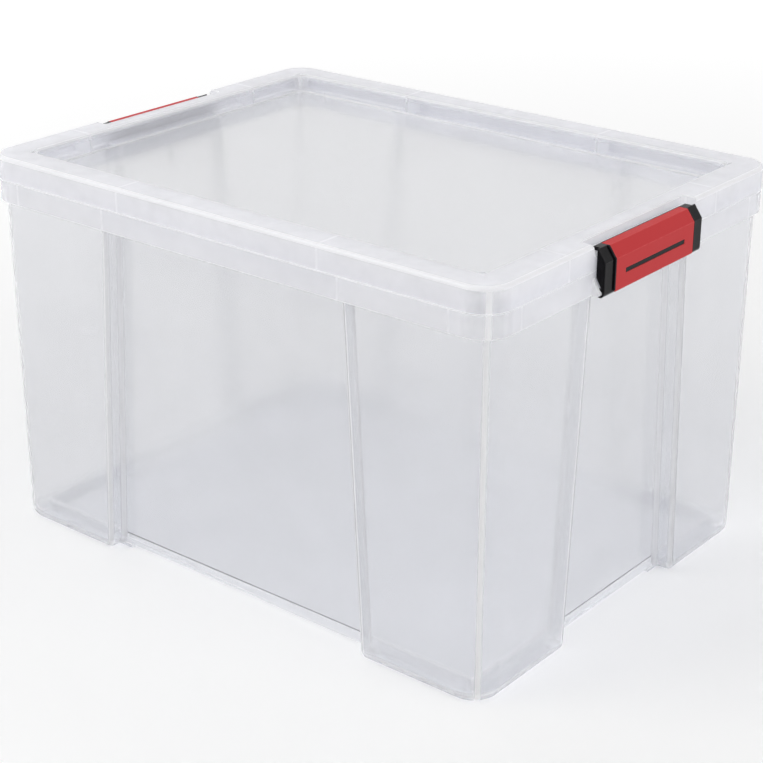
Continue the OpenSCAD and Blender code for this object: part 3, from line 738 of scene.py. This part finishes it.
def milky(name, milk):
    """Frosted plastic: clear glass with a share of milk that scatters the light."""
    f = Finish(name)
    grain = f.node("ShaderNodeBump", {}, Strength=0.06, Distance=0.00005, Height=f.noise(1800.0, 2.0))
    share, painted_highlight = milk(f)
    # The milk turns paler where milk() marks a painted highlight: tight bends, corner lines and ribs
    tone = f.mix(painted_highlight.clamp(), MILK, HIGHLIGHT_WHITE)
    glass = f.node("ShaderNodeBsdfPrincipled", {}, Base_Color=(0.94, 0.944, 0.956, 1), Roughness=0.14, IOR=1.49,
                   Transmission_Weight=1.0)
    white = f.node("ShaderNodeBsdfPrincipled", {}, Base_Color=tone, Roughness=0.3, IOR=1.49, Normal=grain)
    glow = f.node("ShaderNodeBsdfTranslucent", {}, Color=tone, Normal=grain)
    haze = f.node("ShaderNodeMixShader", {}, 0.4, white, glow)
    body = f.node("ShaderNodeMixShader", {}, share.clamp(), glass, haze)
    film = f.node("ShaderNodeBsdfTransparent", {}, Color=(0.825, 0.83, 0.85, 1))
    shadow = f.node("ShaderNodeLightPath", {}, out="Is Shadow Ray")
    return f.output(f.node("ShaderNodeMixShader", {}, shadow, body, film))


# %% Where the milk is
def bent(f):
    """1 on tight bends, 0 on flat skin."""
    tight = f.node("ShaderNodeAttribute", {"attribute_name": "bend"}, out="Fac")
    return ((tight - 0.06) * 2.5).clamp()


def clouds(f, scale):
    """The smoky patches of a thick moulding, about nought."""
    return f.noise(scale, 3.0) - 0.5


def corner_line(f, x, y, centre_x, centre_y):
    """The line of light down the middle of a round corner, and the whole turn of that corner."""
    x_arc = x.abs() - centre_x * MM
    y_arc = y.abs() - centre_y * MM
    turn = (x_arc * 90.0).clamp() * (y_arc * 90.0).clamp()
    return (2.9 - (x_arc - y_arc).abs() * 800.0).clamp() * (turn * 2.0).clamp(), turn


def rib_line(across, place):
    """A faint paler line on the skin where a rib or a wall meets it from inside: the rib seen through, drawn as
    painted highlight.
    """
    return (1.3 - (across.abs() - place * MM).abs() * 800.0).clamp()


def tub_milk(f):
    x, y, z = f.axes()
    in_rim = ((z - (RIM_Z - 0.2) * MM) * 2000.0).clamp()
    line, turn = corner_line(f, x, y, BODY_X - LID_CORNER, BODY_Y - LID_CORNER)
    on_side = ((y.abs() - (RIM_Y - 4) * MM) * 2000.0).clamp()
    on_end = ((x.abs() - (RIM_X - 4) * MM) * 2000.0).clamp()
    ribs = in_rim * (on_side * (rib_line(x, BODY_X - PILLAR_X[0]) + rib_line(x, RIM_X - TUB_RIB - RIB / 2))
                     + on_end * (rib_line(y, BODY_Y - PILLAR_Y[0]) + rib_line(y, RIM_Y - TUB_RIB - RIB / 2)))
    # Round a corner's turn the rim's milk is lowered, a painted grey shade; the bends, the corner line and the ribs
    # add painted highlight.
    share = (0.15 + in_rim * (0.55 - turn * 0.35) + bent(f) * 0.6 + line * 0.7 + ribs * 0.1
             + clouds(f, 14.0) * (0.15 + in_rim * 0.25))
    return share, bent(f) + line + ribs * 0.2


def lid_milk(f):
    x, y, z = f.axes()
    past_x, past_y = x.abs() - (panel_x + 1) * MM, y.abs() - (panel_y + 1) * MM
    outside = (past_x.max(past_y) * 1000.0).clamp()
    ribs = rib_line(x, LID_RIB_X) * (past_y * 1000.0).clamp() + rib_line(y, LID_RIB_Y) * (past_x * 1000.0).clamp()
    line, turn = corner_line(f, x, y, LID_X - LID_CORNER, LID_Y - LID_CORNER)
    # side marks the corner turns of the skirt below the top: there the milk is lowered, a painted grey shade, and the
    # painted line of light runs down them.
    side = (((TOP - 2.5) * MM - z) * 800.0).clamp() * turn
    share = (0.07 + outside * (0.64 - side * 0.4 + clouds(f, 26.0) * 0.45) + bent(f) * 0.6 + line * side * 0.5
             + ribs * 0.1)
    return share, bent(f) + line * side + ribs * 0.2


frosted = milky("tub_plastic", tub_milk)
lid_frosted = milky("lid_plastic", lid_milk)
for finish in (frosted, lid_frosted):
    print(finish.name, "has", len(finish.node_tree.nodes), "nodes")

# %% [markdown]
# ## Black and red plastic
# The frames of the clips are of glossy black plastic. Their covers are satin red: the mould was
# lightly etched, which leaves a fine grain. Hands rub the edges of both a little paler and
# smoother, which one mask on the tight bends gives to colour and gloss together.

# %% Black and red plastic
def moulded(name, colour, worn, rough, shine, grain_depth):
    """Opaque plastic with a fine grain, uneven gloss, and edges rubbed to a paler colour."""
    f = Finish(name)
    tight = f.node("ShaderNodeAttribute", {"attribute_name": "bend"}, out="Fac")
    rubbed = ((tight - 0.08) * 3.0).clamp() * (f.noise(220.0, 4.0) * 2.2 - 0.5).clamp()
    uneven = f.noise(45.0, 3.0) - 0.5
    paint = f.mix((rubbed * 0.8 + uneven * 0.2).clamp(), colour, worn)
    grain = f.node("ShaderNodeBump", {}, Strength=0.25, Distance=grain_depth, Height=f.noise(1600.0, 2.0))
    return f.output(f.node("ShaderNodeBsdfPrincipled", {}, Base_Color=paint, Specular_IOR_Level=shine,
                           Roughness=(rough + uneven * 0.16 - rubbed * 0.1).clamp(), Normal=grain))


black = moulded("black_plastic", (0.0025, 0.002, 0.003, 1), (0.018, 0.017, 0.02, 1), 0.25, 0.12, 0.00003)
red = moulded("red_plastic", (0.58, 0.042, 0.046, 1), (0.68, 0.085, 0.09, 1), 0.5, 0.14, 0.00006)
print(black.name, "and", red.name, "have", len(red.node_tree.nodes), "nodes each")

# %% [markdown]
# Every piece gets its finish, rides on its body and stands for its solid. Faces are shaded smooth,
# with the true edges kept sharp and the flat faces weighted, so that large walls stay flat.

# %% Dress the pieces
def dress(piece, finish, body, slot, *replaced):
    mark_bends(piece)
    piece.data.materials.clear()
    piece.data.materials.append(finish)
    piece.data.polygons.foreach_set("use_smooth", [True] * len(piece.data.polygons))
    piece.data.set_sharp_from_angle(angle=math.radians(32))
    weighted = piece.modifiers.new("even_faces", "WEIGHTED_NORMAL")
    weighted.keep_sharp = True
    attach(piece, body)
    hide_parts(*replaced)


dress(tub, frosted, "tub", "milky_plastic", "tub")
dress(lid, lid_frosted, "lid", "clear_plastic", "lid")
for piece, finish, body, slot, node in (
        (frame_right, black, "clip_right", "black_plastic", "clip_frame_right"),
        (cover_right, red, "clip_right", "red_plastic", "clip_cover_right"),
        (frame_left, black, "clip_left", "black_plastic", "clip_frame_left"),
        (cover_left, red, "clip_left", "red_plastic", "clip_cover_left")):
    dress(piece, finish, body, slot, node)

# %% [markdown]
# ## Studio
# A pale floor, a white backdrop and two large soft lamps, as for a catalogue picture. What the
# camera, the gloss and the glass see of the backdrop is white, and the floor pales away from the
# box. Neither puts more light on the box.

# %% Studio
scene = bpy.context.scene
scene.view_settings.view_transform = "Standard"
scene.cycles.max_bounces = 24
scene.cycles.transmission_bounces = 20
scene.cycles.transparent_max_bounces = 32

# %% The floor
f = Finish("studio_floor")
paths = f.node("ShaderNodeLightPath", {}).socket.node
seen = Value(f, paths.outputs["Is Camera Ray"]).max(Value(f, paths.outputs["Is Glossy Ray"])).max(
    Value(f, paths.outputs["Is Transmission Ray"]))
matt = f.node("ShaderNodeBsdfDiffuse", {}, Color=(0.9, 0.9, 0.9, 1))
away = (f.node("ShaderNodeVectorMath", {"operation": "LENGTH"}, f.place, out="Value") * 0.4 - 0.15).clamp()
lift = f.node("ShaderNodeEmission", {}, Color=(1, 1, 1, 1), Strength=seen * (0.1 + away * 0.45))
studio = f.output(f.node("ShaderNodeAddShader", {}, matt, lift))
bm = bmesh.new()
bmesh.ops.create_grid(bm, x_segments=1, y_segments=1, size=6.0)
bmesh.ops.translate(bm, verts=bm.verts, vec=(0, 0, -0.0003))      # just clear of the feet
floor = finish_mesh(bm, "floor")
floor.data.materials.append(studio)
floor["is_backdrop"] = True
print("the floor reaches", max(v.co.x for v in floor.data.vertices), "m each way")

# %% The backdrop's light
WORLD = 0.6                           # strength of the light on the box; what is seen of it is 1
world = bpy.data.worlds.new("studio")
world.use_nodes = True
scene.world = world
nodes, links = world.node_tree.nodes, world.node_tree.links
path = nodes.new("ShaderNodeLightPath")
any_seen = [nodes.new("ShaderNodeMath"), nodes.new("ShaderNodeMath")]
for node in any_seen:
    node.operation = "MAXIMUM"
links.new(path.outputs["Is Camera Ray"], any_seen[0].inputs[0])
links.new(path.outputs["Is Glossy Ray"], any_seen[0].inputs[1])
links.new(any_seen[0].outputs[0], any_seen[1].inputs[0])
links.new(path.outputs["Is Transmission Ray"], any_seen[1].inputs[1])
strength = nodes.new("ShaderNodeMapRange")
strength.inputs["To Min"].default_value = WORLD
strength.inputs["To Max"].default_value = 1.0
links.new(any_seen[1].outputs[0], strength.inputs["Value"])
links.new(strength.outputs[0], nodes["Background"].inputs["Strength"])
nodes["Background"].inputs["Color"].default_value = (1, 1, 1, 1)
print("the backdrop's nodes:", [node.name for node in nodes])


# %% The lamps
def lamp(name, place, aim, size, watts):
    data = bpy.data.lights.new(name, "AREA")
    data.shape = "RECTANGLE"
    data.size, data.size_y = size
    data.energy = watts
    made = bpy.data.objects.new(name, data)
    made.location = place
    made.rotation_euler = (Vector(aim) - Vector(place)).to_track_quat("-Z", "Y").to_euler()
    scene.collection.objects.link(made)
    print(name, "lamp:", watts, "W")


lamp("key", (-1.2, -1.6, 2.2), (0, 0, 0.15), (1.4, 1.4), 28)
lamp("side", (2.4, 0.2, 1.6), (0, 0, 0.15), (1.2, 1.6), 12)

# %% [markdown]
# The camera stands where the photograph's did, found from the box's own straight edges.

# %% Camera
camera_data = bpy.data.cameras.new("camera")
camera = bpy.data.objects.new("camera", camera_data)
camera.location = (0.90701, -1.11129, 0.74855)
camera.rotation_euler = [math.radians(v) for v in (66.7673, -0.0462, 39.2533)]
camera_data.sensor_width = 36
camera_data.lens = 88.358
camera_data.shift_x, camera_data.shift_y = 0.00666, -0.00548
scene.collection.objects.link(camera)
scene.camera = camera
print("camera at", [round(v, 2) for v in camera.location], "m")

# %% [markdown]
# Last, the bounds of what was made are found.

# %% The bounds of what was made
low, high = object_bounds()
